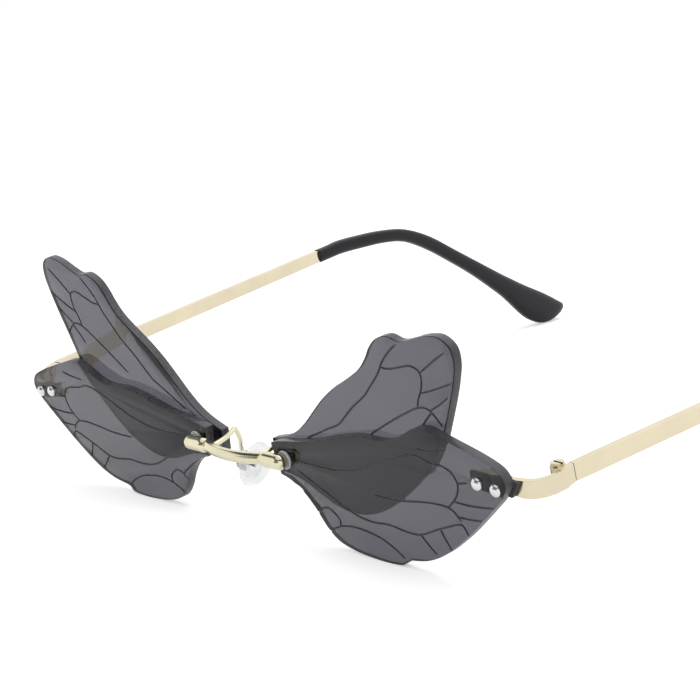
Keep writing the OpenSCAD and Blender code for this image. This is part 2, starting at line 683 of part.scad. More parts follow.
bridge();
bridge_washer(1);  // bridge_washer_left
bridge_washer(-1);  // bridge_washer_right
bridge_nut(1);  // bridge_nut_left
bridge_nut(-1);  // bridge_nut_right
upper_wing(1);  // upper_wing_left
upper_wing(-1);  // upper_wing_right
lower_wing(1);  // lower_wing_left
lower_wing(-1);  // lower_wing_right
nose_pad_arm(1);  // nose_pad_arm_left
nose_pad_arm(-1);  // nose_pad_arm_right
nose_pad(1);  // nose_pad_left
nose_pad(-1);  // nose_pad_right
nose_pad_core(1);  // nose_pad_core_left
nose_pad_core(-1);  // nose_pad_core_right
nose_pad_screw(1);  // nose_pad_screw_left
nose_pad_screw(-1);  // nose_pad_screw_right
mount_pad(1);  // mount_pad_left
mount_pad(-1);  // mount_pad_right
end_piece(1);  // end_piece_left
end_piece(-1);  // end_piece_right
lens_rivets(1);  // lens_rivets_left
lens_rivets(-1);  // lens_rivets_right
hinge_screw(1);  // hinge_screw_left
hinge_screw(-1);  // hinge_screw_right
temple(1);  // temple_left
temple(-1);  // temple_right
temple_tip(1);  // temple_tip_left
temple_tip(-1);  // temple_tip_right
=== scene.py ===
import json
import math

import bmesh
import bpy
from bpy.props import FloatProperty, FloatVectorProperty, PointerProperty
from mathutils import Matrix, Vector

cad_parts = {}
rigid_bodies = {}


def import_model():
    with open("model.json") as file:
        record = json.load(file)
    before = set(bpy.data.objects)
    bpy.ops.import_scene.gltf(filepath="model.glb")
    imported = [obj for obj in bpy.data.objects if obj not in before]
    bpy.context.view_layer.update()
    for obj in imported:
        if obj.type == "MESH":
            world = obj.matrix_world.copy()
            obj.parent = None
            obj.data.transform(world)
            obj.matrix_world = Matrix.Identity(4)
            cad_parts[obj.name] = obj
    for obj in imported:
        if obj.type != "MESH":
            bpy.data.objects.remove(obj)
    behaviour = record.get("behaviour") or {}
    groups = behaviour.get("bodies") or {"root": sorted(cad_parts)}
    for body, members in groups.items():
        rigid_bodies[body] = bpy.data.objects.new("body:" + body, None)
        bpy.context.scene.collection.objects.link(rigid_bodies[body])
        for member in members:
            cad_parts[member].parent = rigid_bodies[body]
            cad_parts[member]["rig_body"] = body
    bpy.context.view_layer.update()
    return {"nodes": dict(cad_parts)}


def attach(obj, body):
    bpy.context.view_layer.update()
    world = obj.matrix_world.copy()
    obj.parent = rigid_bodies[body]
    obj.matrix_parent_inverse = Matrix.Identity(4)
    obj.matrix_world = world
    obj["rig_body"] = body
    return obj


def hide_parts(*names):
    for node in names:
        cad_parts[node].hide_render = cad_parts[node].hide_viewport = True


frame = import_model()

bl_info = {
    "name": "Dragonfly wing sunglasses",
    "version": (1, 0, 0),
    "blender": (4, 5, 0),
    "location": "3D View > Sidebar > Sunglasses",
    "description": "Finishes the sunglasses' wings, metalwork, sleeves and nose pads",
    "category": "Object",
}

SIDES = ("left", "right")
WHITE = (1.0, 1.0, 1.0, 1.0)

# Lengths are in metres. Corners of a CAD mesh that lie closer than this are one corner
CAD_WELD = 0.000002
# Shortest edge that is kept, which is also the weld of a turned piece's corners
SPECK = 0.000001
# Triangles of a CAD mesh that turn less than this are one flat face
FLAT_ANGLE = math.radians(0.6)
# Edges that turn more than this stay hard in the shading
HARD_ANGLE = math.radians(34)

# A face this near to a level of a wing plate lies on it
ON_LEVEL = 0.00002
# Step in which the levels of the flat faces are counted
LEVEL_STEP = 0.00002
# The floor of a vein is at least this far inside the plate
INSIDE = 0.00004
# Least cosine of a flat face's turn from the plate's front, and most of an edge face's
FLAT_COSINE = 0.999
EDGE_COSINE = 0.5
# Edges of the plate's outline turn more than this
OUTLINE_ANGLE = math.radians(40)

# The bright box of a pad arm ends this far from the middle of the pad's screw
PAD_BOX_REACH = 0.0025
# The slot of a hinge screw lies between these depths under the top of its head; its faces get painted shade
SLOT_TOP = 0.00001
SLOT_FLOOR = 0.00022
# Cell of the skin over the bridge, and how far and how often its edges flow
SKIN_CELL = 0.00009
FLOW = 0.5
FLOW_PASSES = 7

# Sides of a rivet, rings of its domed head and tail, and the power that rounds the domes
RIVET_SIDES = 40
HEAD_RINGS = 24
TAIL_RINGS = 14
DOME_POWER = 0.48
# Share of a head's or tail's height that the shank reaches into it
SHANK_REACH = 0.3

# Part of a noise's range that holds nearly all of it
NOISE_LOW = 0.35
NOISE_HIGH = 0.65


# Sizes and colours that a user would change

class WingSettings(bpy.types.PropertyGroup):
    """Tinted wing plates."""
    lower_tint: FloatVectorProperty(
        name="Lower tint", description="Colour that a lower wing lets through",
        subtype="COLOR", size=4, min=0.0, max=1.0, default=(0.123, 0.120, 0.140, 1.0))
    upper_tint: FloatVectorProperty(
        name="Upper tint", description="Colour that an upper wing lets through",
        subtype="COLOR", size=4, min=0.0, max=1.0, default=(0.130, 0.125, 0.149, 1.0))
    # Painted shade: the colour in the veins is dark to stand for the shade that lies in the engraved grooves.
    vein_shade: FloatVectorProperty(
        name="Vein shade", description="Colour inside the engraved veins",
        subtype="COLOR", size=4, min=0.0, max=1.0, default=(0.052, 0.051, 0.058, 1.0))
    # Painted shade: the opaque dark grey of the plate edges stands for the dark band that the clear edges
    # show.
    edge_shade_grey: FloatVectorProperty(
        name="Edge grey", description="Colour of the satin edges of the plates",
        subtype="COLOR", size=4, min=0.0, max=1.0, default=(0.064, 0.063, 0.072, 1.0))
    edge_round: FloatProperty(
        name="Edge round", description="Radius of the polished edges of the plates",
        subtype="DISTANCE", unit="LENGTH", min=0.0, max=0.0004, default=0.00012)


class MetalSettings(bpy.types.PropertyGroup):
    """Gilt and steel parts."""
    gold: FloatVectorProperty(
        name="Gold", description="Colour of the pale gold plating on the temples and end pieces",
        subtype="COLOR", size=4, min=0.0, max=1.0, default=(0.806, 0.714, 0.522, 1.0))
    bridge_gold: FloatVectorProperty(
        name="Bridge gold", description="Colour of the plating on the bridge and the pad arms",
        subtype="COLOR", size=4, min=0.0, max=1.0, default=(0.815, 0.762, 0.545, 1.0))
    steel: FloatVectorProperty(
        name="Steel", description="Colour of the bright plated rivets and pad screws",
        subtype="COLOR", size=4, min=0.0, max=1.0, default=(0.780, 0.780, 0.790, 1.0))
    gold_roughness: FloatProperty(
        name="Gold roughness", description="Roughness of the polished gold plating",
        subtype="FACTOR", min=0.02, max=0.6, default=0.13)
    steel_roughness: FloatProperty(
        name="Steel roughness", description="Roughness of the bright plated steel",
        subtype="FACTOR", min=0.02, max=0.6, default=0.07)
    edge_round: FloatProperty(
        name="Edge round", description="Radius of the edges of the metal parts",
        subtype="DISTANCE", unit="LENGTH", min=0.0, max=0.0003, default=0.00012)
    small_edge_round: FloatProperty(
        name="Small edge round", description="Radius of the edges of the pad arms and pad screws",
        subtype="DISTANCE", unit="LENGTH", min=0.0, max=0.0002, default=0.000072)


class RivetSettings(bpy.types.PropertyGroup):
    """Rivet heads in front of the lower wings."""
    head_width: FloatProperty(
        name="Head width", description="Diameter of a rivet's head",
        subtype="DISTANCE", unit="LENGTH", min=0.001, max=0.0024, default=0.0019)
    head_height: FloatProperty(
        name="Head height", description="Height of a rivet's head over the wing",
        subtype="DISTANCE", unit="LENGTH", min=0.0003, max=0.0007, default=0.00068)
    shank_width: FloatProperty(
        name="Shank width", description="Diameter of a rivet between its two heads",
        subtype="DISTANCE", unit="LENGTH", min=0.0005, max=0.0011, default=0.0011)
    tail_width: FloatProperty(
        name="Tail width", description="Diameter of the formed head at the back",
        subtype="DISTANCE", unit="LENGTH", min=0.001, max=0.0016, default=0.0016)
    tail_height: FloatProperty(
        name="Tail height", description="Height of the formed head at the back",
        subtype="DISTANCE", unit="LENGTH", min=0.0002, max=0.00045, default=0.00044)


class SoftSettings(bpy.types.PropertyGroup):
    """Sleeves, nose pads, nuts and clear parts."""
    sleeve: FloatVectorProperty(
        name="Sleeve", description="Colour of the black temple sleeves",
        subtype="COLOR", size=4, min=0.0, max=1.0, default=(0.003, 0.003, 0.005, 1.0))
    silicone: FloatVectorProperty(
        name="Silicone", description="Colour that a nose pad lets through",
        subtype="COLOR", size=4, min=0.0, max=1.0, default=(0.955, 0.96, 0.96, 1.0))
    pad_core: FloatVectorProperty(
        name="Pad core", description="Colour that the hard core of a nose pad lets through",
        subtype="COLOR", size=4, min=0.0, max=1.0, default=(0.93, 0.94, 0.94, 1.0))
    washer: FloatVectorProperty(
        name="Washer", description="Colour that a bridge washer lets through",
        subtype="COLOR", size=4, min=0.0, max=1.0, default=(0.80, 0.81, 0.78, 1.0))
    pad_round: FloatProperty(
        name="Pad round", description="Radius of a nose pad's rim",
        subtype="DISTANCE", unit="LENGTH", min=0.0001, max=0.0006, default=0.00045)
    core_round: FloatProperty(
        name="Core round", description="Radius of the edges of a pad's core",
        subtype="DISTANCE", unit="LENGTH", min=0.0, max=0.0002, default=0.0001)
    # The rounded rims of a washer carry a painted highlight: an opaque pale grey ring.
    washer_round: FloatProperty(
        name="Washer round", description="Radius of the pale rims of a washer",
        subtype="DISTANCE", unit="LENGTH", min=0.0, max=0.00015, default=0.00009)
    sleeve_round: FloatProperty(
        name="Sleeve round", description="Radius of the edges of a sleeve",
        subtype="DISTANCE", unit="LENGTH", min=0.0, max=0.0003, default=0.00018)
    backing_round: FloatProperty(
        name="Backing round", description="Radius of the edges of the black pads behind the wings",
        subtype="DISTANCE", unit="LENGTH", min=0.0, max=0.0002, default=0.00008)
    nut_round: FloatProperty(
        name="Nut round", description="Radius of the edges of the bridge nuts",
        subtype="DISTANCE", unit="LENGTH", min=0.0, max=0.0003, default=0.0002)


class StageSettings(bpy.types.PropertyGroup):
    """Camera, floor and studio light."""
    camera_place: FloatVectorProperty(
        name="Camera place", description="Where the camera stands",
        subtype="TRANSLATION", unit="LENGTH", size=3, default=(0.25614, -0.24354, 0.08856))
    azimuth: FloatProperty(
        name="Azimuth", description="Turn of the camera round the object",
        subtype="ANGLE", unit="ROTATION", default=math.radians(52.346))
    elevation: FloatProperty(
        name="Elevation", description="Height angle of the camera",
        subtype="ANGLE", unit="ROTATION", default=math.radians(11.364))
    roll: FloatProperty(
        name="Roll", description="Turn of the camera about its own line of sight",
        subtype="ANGLE", unit="ROTATION", default=math.radians(-5.434))
    lens: FloatProperty(
        name="Lens", description="Focal length on a 36 mm sensor, in millimetres",
        subtype="DISTANCE_CAMERA", min=20.0, max=300.0, default=108.38)
    floor_glow: FloatProperty(
        name="Floor glow", description="How far the floor is lifted to white where it is seen directly",
        subtype="FACTOR", min=0.0, max=1.0, default=0.45)
    floor_shine: FloatProperty(
        name="Floor shine", description="How far the floor is lifted to white in metal and through the wings",
        subtype="FACTOR", min=0.0, max=1.0, default=0.16)
    room_light: FloatProperty(
        name="Room light", description="Strength of the even light that the white room gives",
        subtype="FACTOR", min=0.0, max=1.0, default=0.60)
    overhead_power: FloatProperty(
        name="Overhead power", description="Strength of the broad overhead light",
        min=0.0, max=4.0, default=1.15)
    key_power: FloatProperty(
        name="Key power", description="Strength of the small light from the front",
        min=0.0, max=4.0, default=0.25)


SETTINGS = (
    ("sg_wings", WingSettings), ("sg_metal", MetalSettings), ("sg_rivets", RivetSettings),
    ("sg_soft", SoftSettings), ("sg_stage", StageSettings),
)


# Node helpers

def calc(tree, operation, *values):
    """A Math node's result, from numbers and other nodes' outputs."""
    node = tree.nodes.new("ShaderNodeMath")
    node.operation = operation
    for socket, value in zip(node.inputs, values):
        if isinstance(value, bpy.types.NodeSocket):
            tree.links.new(value, socket)
        else:
            socket.default_value = value
    return node.outputs[0]


def fade(tree, value, start, end, low, high):
    """A value that goes from low to high while another goes from start to end."""
    node = tree.nodes.new("ShaderNodeMapRange")
    node.inputs["From Min"].default_value = start
    node.inputs["From Max"].default_value = end
    node.inputs["To Min"].default_value = low
    node.inputs["To Max"].default_value = high
    tree.links.new(value, node.inputs["Value"])
    return node.outputs["Result"]


# Materials

class Shader:
    """A new material's node tree, built one node at a time."""

    def __init__(self, name):
        self.material = bpy.data.materials.new(name)
        self.material.use_nodes = True
        self.tree = self.material.node_tree
        self.tree.nodes.clear()
        self.output = self.tree.nodes.new("ShaderNodeOutputMaterial")
        self.place = self.tree.nodes.new("ShaderNodeTexCoord").outputs["Object"]

    def add(self, kind):
        return self.tree.nodes.new("ShaderNode" + kind)

    def link(self, start, end):
        self.tree.links.new(start, end)

    def principled(self, **sockets):
        """The surface's own shader, with the values that are the same all over it."""
        self.base = self.add("BsdfPrincipled")
        for key, value in sockets.items():
            self.base.inputs[key.replace("_", " ")].default_value = value
        self.link(self.base.outputs[0], self.output.inputs["Surface"])

    def noise(self, scale, detail=3.0, roughness=0.55, stretch=None):
        """Noise on the piece's own coordinates; a small stretch draws it out along that axis."""
        node = self.add("TexNoise")
        node.inputs["Scale"].default_value = scale
        node.inputs["Detail"].default_value = detail
        node.inputs["Roughness"].default_value = roughness
        place = self.place
        if stretch:
            mapping = self.add("Mapping")
            mapping.inputs["Scale"].default_value = stretch
            self.link(place, mapping.inputs["Vector"])
            place = mapping.outputs[0]
        self.link(place, node.inputs["Vector"])
        return node.outputs["Fac"]

    def tones(self, noise, low, high):
        """A noise turned into colours between two tones."""
        node = self.add("ValToRGB")
        node.color_ramp.elements[0].position = NOISE_LOW
        node.color_ramp.elements[0].color = low
        node.color_ramp.elements[1].position = NOISE_HIGH
        node.color_ramp.elements[1].color = high
        self.link(noise, node.inputs["Fac"])
        return node.outputs["Color"]

    def colour(self, noise, low, high):
        self.link(self.tones(noise, low, high), self.base.inputs["Base Color"])

    def roughness(self, noise, low, high):
        self.link(fade(self.tree, noise, NOISE_LOW, NOISE_HIGH, low, high), self.base.inputs["Roughness"])

    def relief(self, noise, strength, depth):
        node = self.add("Bump")
        node.inputs["Strength"].default_value = strength
        node.inputs["Distance"].default_value = depth
        self.link(noise, node.inputs["Height"])
        self.link(node.outputs["Normal"], self.base.inputs["Normal"])


def shade(colour, factor):
    """A lighter or darker tone of a colour."""
    return (colour[0] * factor, colour[1] * factor, colour[2] * factor, 1.0)


def tinted_plate(name, tint):
    """Polished tinted plastic: a slow drift in the tint and the faintest polishing marks."""
    s = Shader(name)
    s.principled(Roughness=0.0, IOR=1.38, Transmission_Weight=1.0, Specular_IOR_Level=0.5)
    s.colour(s.noise(55.0, detail=2.0), shade(tint, 0.96), shade(tint, 1.04))
    s.roughness(s.noise(900.0, detail=4.0), low=0.0, high=0.012)
    s.relief(s.noise(90.0, detail=1.0), strength=0.03, depth=0.00003)
    return s.material


def painted_vein_shade(name, groove_shade):
    """Painted shade: the dark floor and walls of an engraved vein, coloured dark for the shade that lies in
    the groove.
    """
    s = Shader(name)
    s.principled(Roughness=0.5, Specular_IOR_Level=0.3)
    s.colour(s.noise(2600.0), groove_shade, shade(groove_shade, 2.2))
    s.relief(s.noise(5200.0, detail=2.0), strength=0.2, depth=0.00003)
    return s.material


def shaded_milled_edge(name, colour):
    """Satin edge of a tinted plate, with the fine lines the cutter leaves along it; its opaque dark grey is
    painted shade for the dark band that the clear edge shows.
    """
    s = Shader(name)
    s.principled(Roughness=0.3, IOR=1.46)
    s.colour(s.noise(300.0), shade(colour, 0.8), shade(colour, 1.25))
    s.roughness(s.noise(1500.0), low=0.24, high=0.40)
    lines = s.noise(2400.0, detail=2.0, roughness=0.5, stretch=(0.2, 1.0, 0.2))
    s.relief(lines, strength=0.12, depth=0.00003)
    return s.material


def painted_slot_shade(name):
    """Painted shade for a screw slot and the rim of the screw's head: matt dark brown-black for the shade
    that lies in them.
    """
    s = Shader(name)
    s.principled(Metallic=0.6, Roughness=0.5)
    s.colour(s.noise(3000.0), (0.05, 0.04, 0.03, 1.0), (0.10, 0.08, 0.05, 1.0))
    s.relief(s.noise(5000.0, detail=2.0), strength=0.2, depth=0.00002)
    return s.material


def plated(name, colour, roughness):
    """Polished plating with soft waves, hairline polish and slightly duller patches."""
    s = Shader(name)
    s.principled(Metallic=1.0, Roughness=roughness)
    s.colour(s.noise(120.0), shade(colour, 0.95), shade(colour, 1.03))
    patches = s.noise(800.0, detail=4.0, roughness=0.6, stretch=(1.0, 0.12, 1.0))
    s.roughness(patches, low=roughness * 0.7, high=roughness * 1.4)
    hairlines = s.noise(1500.0, roughness=0.6, stretch=(1.0, 0.08, 1.0))
    s.relief(hairlines, strength=0.06, depth=0.00002)
    return s.material


def glossy_black(name, colour):
    """Polished black sleeve: faint flow marks and a soft orange-peel surface."""
    s = Shader(name)
    s.principled(Roughness=0.2, IOR=1.41, Specular_Tint=(0.93, 0.95, 1.0, 1.0))
    s.colour(s.noise(260.0, detail=4.0), shade(colour, 0.8), shade(colour, 1.35))
    s.roughness(s.noise(1400.0), low=0.14, high=0.26)
    s.relief(s.noise(420.0, detail=2.0), strength=0.06, depth=0.00005)
    return s.material


def satin_black(name):
    """Moulded black nylon with a fine matt grain."""
    s = Shader(name)
    s.principled(Roughness=0.5, IOR=1.5)
    s.colour(s.noise(1800.0), (0.010, 0.010, 0.011, 1.0), (0.024, 0.024, 0.026, 1.0))
    s.relief(s.noise(4200.0, detail=2.0), strength=0.25, depth=0.00003)
    return s.material


def clear_moulding(name, colour, rough, bend):
    """Clear or milky moulded part: cloudy flow in the body and a fine skin on the surface."""
    s = Shader(name)
    s.principled(Roughness=rough[0], IOR=bend, Transmission_Weight=1.0)
    s.colour(s.noise(420.0), shade(colour, 0.95), shade(colour, 1.0))
    s.roughness(s.noise(1600.0), low=rough[0], high=rough[1])
    s.relief(s.noise(500.0, detail=2.0), strength=0.04, depth=0.00004)
    return s.material


def painted_rim_highlight(name):
    """Painted highlight: the rim of a clear washer, an opaque pale grey that shows as the bright ring that
    light makes on the rim.
    """
    s = Shader(name)
    s.principled(Roughness=0.22, IOR=1.46)
    s.colour(s.noise(900.0), (0.66, 0.67, 0.64, 1.0), (0.78, 0.79, 0.76, 1.0))
    s.roughness(s.noise(2200.0), low=0.18, high=0.30)
    s.relief(s.noise(3000.0, detail=2.0), strength=0.08, depth=0.00002)
    return s.material


def finish(name):
    """One of the object's finishes by name; each is made once."""
    if name in bpy.data.materials:
        return bpy.data.materials[name]
    scene = bpy.context.scene
    wings, metal, soft = scene.sg_wings, scene.sg_metal, scene.sg_soft
    makers = {
        "lower_wing_tint": lambda: tinted_plate(name, wings.lower_tint),
        "upper_wing_tint": lambda: tinted_plate(name, wings.upper_tint),
        "vein_shade": lambda: painted_vein_shade(name, wings.vein_shade),
        "wing_edge_shade": lambda: shaded_milled_edge(name, wings.edge_shade_grey),
        "pale_gold": lambda: plated(name, metal.gold, metal.gold_roughness),
        "bridge_gold": lambda: plated(name, metal.bridge_gold, metal.gold_roughness),
        "bright_steel": lambda: plated(name, metal.steel, metal.steel_roughness),
        "slot_shadow": lambda: painted_slot_shade(name),
        "black_sleeve": lambda: glossy_black(name, soft.sleeve),
        "black_nylon": lambda: satin_black(name),
        "clear_nylon": lambda: clear_moulding(name, soft.washer, rough=(0.02, 0.06), bend=1.15),
        "washer_rim_highlight": lambda: painted_rim_highlight(name),
        "clear_core": lambda: clear_moulding(name, soft.pad_core, rough=(0.05, 0.09), bend=1.05),
        "milky_silicone": lambda: clear_moulding(name, soft.silicone, rough=(0.05, 0.10), bend=1.07),
    }
    if name not in makers:
        raise RuntimeError("no finish is called " + name)
    return makers[name]()


# Mesh helpers

def merged_copy(node):
    """A CAD node's mesh as one clean surface: corners joined and flat triangles dissolved."""
    mesh = bmesh.new()
    mesh.from_mesh(frame["nodes"][node].data)
    bmesh.ops.remove_doubles(mesh, verts=mesh.verts, dist=CAD_WELD)
    bmesh.ops.dissolve_degenerate(mesh, edges=mesh.edges, dist=SPECK)
    bmesh.ops.dissolve_limit(
        mesh, angle_limit=FLAT_ANGLE, verts=mesh.verts, edges=mesh.edges, use_dissolve_boundaries=False)
    return mesh


def placed(name, data):
    """A new object in the scene, at the origin."""
    item = bpy.data.objects.new(name, data)
    bpy.context.scene.collection.objects.link(item)
    return item


def mesh_data(name, mesh):
    """Turns a bmesh into mesh data and frees it."""
    data = bpy.data.meshes.new(name)
    mesh.to_mesh(data)
    mesh.free()
    return data


def evaluated(holder):
    """The plain mesh that an object's modifiers make. The object itself is removed."""
    bpy.context.view_layer.update()
    drawn = bpy.data.meshes.new_from_object(holder.evaluated_get(bpy.context.evaluated_depsgraph_get()))
    bpy.data.objects.remove(holder)
    mesh = bmesh.new()
    mesh.from_mesh(drawn)
    return mesh


def put(mesh, name, finishes, node):
    """Turns a finished bmesh into a piece that stands for its CAD node and rides on its body."""
    for face in mesh.faces:
        face.smooth = True
    for edge in mesh.edges:
        if len(edge.link_faces) == 2:
            edge.smooth = edge.calc_face_angle(0.0) < HARD_ANGLE
    data = mesh_data(name, mesh)
    for finish_name in finishes:
        data.materials.append(finish(finish_name))
    piece = placed(name, data)
    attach(piece, frame["nodes"][node]["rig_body"])
    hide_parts(node)
    return piece


def rounded(piece, width, segments=3, angle=28):
    """A Bevel modifier that rounds the edges of a piece that turn more than an angle in degrees."""
    bevel = piece.modifiers.new("Rounded edges", "BEVEL")
    bevel.width = width
    bevel.segments = segments
    bevel.limit_method = "ANGLE"
    bevel.angle_limit = math.radians(angle)
    bevel.use_clamp_overlap = True
    bevel.harden_normals = True
    bevel.miter_outer = "MITER_ARC"
    return bevel


def dressed(node, finish_name, width, segments=3):
    """A node's own shape with rounded edges and its finish."""
    rounded(put(merged_copy(node), node + "_finish", [finish_name], node), width, segments)


def middle(verts):
    """Mean place of some vertices."""
    return sum((v.co for v in verts), Vector()) / len(verts)


def islands(mesh):
    """Groups of joined vertices, one for each solid in a mesh."""
    left = set(mesh.verts)
    groups = []
    while left:
        reach = [left.pop()]
        group = []
        while reach:
            vert = reach.pop()
            group.append(vert)
            for edge in vert.link_edges:
                other = edge.other_vert(vert)
                if other in left:
                    left.remove(other)
                    reach.append(other)
        groups.append(group)
    return groups


def plate_normal(mesh):
    """Outward direction of a wing plate's front face."""
    normal = max(mesh.faces, key=lambda f: f.calc_area()).normal.copy()
    return -normal if normal.y > 0 else normal


def wing_front(side):
    """Outward direction of a lower wing's front face and how far along it the face stands."""
    wing = merged_copy("lower_wing_" + side)
    out = plate_normal(wing)
    level = max(v.co.dot(out) for v in wing.verts)
    wing.free()
    return out, level


def rivet_tree():
    """Geometry nodes that turn one rivet on each point: a domed head, a shank and a formed tail."""
    tree = bpy.data.node_groups.new("rivets", "GeometryNodeTree")
    face = tree.interface
    face.new_socket(name="Places", in_out="INPUT", socket_type="NodeSocketGeometry")
    for name in ("Head Width", "Head Height", "Shank Width", "Shank Length", "Tail Width", "Tail Height"):
        face.new_socket(name=name, in_out="INPUT", socket_type="NodeSocketFloat")
    face.new_socket(name="Axis", in_out="INPUT", socket_type="NodeSocketVector")
    face.new_socket(name="Finish", in_out="INPUT", socket_type="NodeSocketMaterial")
    face.new_socket(name="Rivets", in_out="OUTPUT", socket_type="NodeSocketGeometry")
    given = tree.nodes.new("NodeGroupInput").outputs
    add = tree.nodes.new
    link = tree.links.new

    def lengthwise(value):
        node = add("ShaderNodeCombineXYZ")
        link(value, node.inputs["Z"])
        return node.outputs[0]

    def sweep(start, end, rings, radius):
        """A closed round skin along the rivet's axis, from the origin or a start to an end."""
        line = add("GeometryNodeCurvePrimitiveLine")
        if start:
            link(lengthwise(start), line.inputs["Start"])
        link(lengthwise(end), line.inputs["End"])
        even = add("GeometryNodeResampleCurve")
        link(line.outputs[0], even.inputs["Curve"])
        even.inputs["Count"].default_value = rings
        circle = add("GeometryNodeCurvePrimitiveCircle")
        circle.inputs["Resolution"].default_value = RIVET_SIDES
        circle.inputs["Radius"].default_value = 1.0
        skin = add("GeometryNodeCurveToMesh")
        link(even.outputs[0], skin.inputs["Curve"])
        link(circle.outputs[0], skin.inputs["Profile Curve"])
        link(radius, skin.inputs["Scale"])
        skin.inputs["Fill Caps"].default_value = True
        return skin.outputs[0]

    def dome(width):
        """Radius of a dome along its height, from its foot to its top."""
        along = add("GeometryNodeSplineParameter").outputs["Factor"]
        rest = calc(tree, "SUBTRACT", 1.0, calc(tree, "MULTIPLY", along, along))
        half = calc(tree, "MULTIPLY", width, 0.5)
        return calc(tree, "MULTIPLY", calc(tree, "POWER", rest, DOME_POWER), half)

    inside = calc(tree, "MULTIPLY", given["Head Height"], SHANK_REACH)
    seat = calc(tree, "MULTIPLY", given["Shank Length"], -1.0)
    deep = calc(tree, "SUBTRACT", seat, calc(tree, "MULTIPLY", given["Tail Height"], SHANK_REACH))
    foot = calc(tree, "SUBTRACT", seat, given["Tail Height"])
    shank = calc(tree, "MULTIPLY", given["Shank Width"], 0.5)
    joined = add("GeometryNodeJoinGeometry")
    link(sweep(None, given["Head Height"], HEAD_RINGS, dome(given["Head Width"])), joined.inputs[0])
    link(sweep(deep, inside, 2, shank), joined.inputs[0])
    link(sweep(seat, foot, TAIL_RINGS, dome(given["Tail Width"])), joined.inputs[0])
    points = add("GeometryNodeMeshToPoints")
    link(given["Places"], points.inputs["Mesh"])
    turn = add("FunctionNodeAlignRotationToVector")
    turn.axis = "Z"
    link(given["Axis"], turn.inputs["Vector"])
    instances = add("GeometryNodeInstanceOnPoints")
    link(points.outputs[0], instances.inputs["Points"])
    link(joined.outputs[0], instances.inputs["Instance"])
    link(turn.outputs[0], instances.inputs["Rotation"])
    real = add("GeometryNodeRealizeInstances")
    link(instances.outputs[0], real.inputs["Geometry"])
    plating = add("GeometryNodeSetMaterial")
    link(real.outputs[0], plating.inputs["Geometry"])
    link(given["Finish"], plating.inputs["Material"])
    result = add("NodeGroupOutput")
    link(plating.outputs[0], result.inputs["Rivets"])
    return tree


# Operators

class PieceOperator:
    """Shared settings of the operators that make pieces."""
    bl_options = {"REGISTER", "UNDO"}


class SG_OT_wings(PieceOperator, bpy.types.Operator):
    """Polish the edges of the four wing plates and paint shade into their engraved veins and onto their edges
    """
    bl_idname = "sunglasses.wings"
    bl_label = "Wings"

    def execute(self, context):
        edge_round = context.scene.sg_wings.edge_round
        for side in SIDES:
            for kind in ("lower", "upper"):
                self.plate(kind + "_wing_" + side, kind, edge_round)
        return {"FINISHED"}

    def plate(self, node, kind, edge_round):
        """One plate: its faces are tinted; its veins and its milled edge are painted dark as shade."""
        tinted, vein_faces_shaded, edge_faces_shaded = 0, 1, 2
        mesh = merged_copy(node)
        normal = plate_normal(mesh)
        depth = [v.co.dot(normal) for v in mesh.verts]
        front, back = max(depth), min(depth)
        floor = self.vein_floor(mesh, normal, front, back)
        for face in mesh.faces:
            level = [v.co.dot(normal) for v in face.verts]
            # Vein faces get the painted shade of the veins, edge faces the painted shade of the edges.
            if floor - ON_LEVEL < min(level) <= front - ON_LEVEL:
                face.material_index = vein_faces_shaded
            elif max(level) - min(level) > (front - back) / 2 and abs(face.normal.dot(normal)) < EDGE_COSINE:
                face.material_index = edge_faces_shaded
        outline = []
        for edge in mesh.edges:
            if len(edge.link_faces) != 2 or edge.calc_face_angle(0.0) < OUTLINE_ANGLE:
                continue
            kinds = {face.material_index for face in edge.link_faces}
            if kinds == {tinted, edge_faces_shaded}:
                outline.append(edge)
        if edge_round > 0:
            bmesh.ops.bevel(
                mesh, geom=outline, offset=edge_round, offset_type="OFFSET", segments=3,
                profile=0.5, affect="EDGES", clamp_overlap=True, material=tinted)
        put(mesh, node + "_finish", [kind + "_wing_tint", "vein_shade", "wing_edge_shade"], node)

    def vein_floor(self, mesh, normal, front, back):
        """Depth of the veins' floor: the widest flat level between front and back."""
        levels = {}
        for face in mesh.faces:
            if abs(face.normal.dot(normal)) < FLAT_COSINE:
                continue
            level = face.calc_center_median().dot(normal)
            if front - INSIDE > level > back + INSIDE:
                key = round(level / LEVEL_STEP)
                levels[key] = levels.get(key, 0.0) + face.calc_area()
        if not levels:
            raise RuntimeError("a wing has no engraved veins")
        return max(levels, key=levels.get) * LEVEL_STEP


